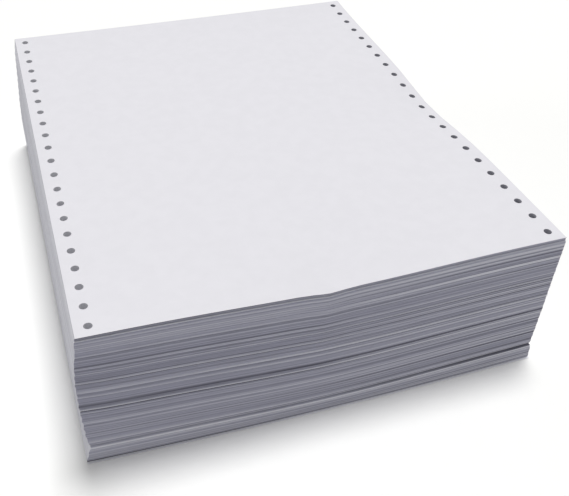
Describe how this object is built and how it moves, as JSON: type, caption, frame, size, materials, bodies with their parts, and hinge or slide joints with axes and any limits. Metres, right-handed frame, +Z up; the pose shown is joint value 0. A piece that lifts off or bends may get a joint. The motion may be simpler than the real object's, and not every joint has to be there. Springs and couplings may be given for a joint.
{
  "type": "fanfold continuous form paper",
  "caption": "Block of blank white fanfold computer paper, folded to and fro, with a row of sprocket holes along each long side.",
  "frame": {"origin": "middle of the underside of the block, where the lowest leaf lies on the table", "axes": "+Z up through the block, +Y along the leaf from the front folds to the back folds, +X across the leaf, along the folds"},
  "size_m": [0.2454, 0.2862, 0.0913],
  "materials": {
    "paper": "uncoated white bond paper, matte, with folded and cut edges that read as fine grey layers"
  },
  "bodies": {
    "root": {"fanfold_web": "paper"}
  },
  "joints": []
}
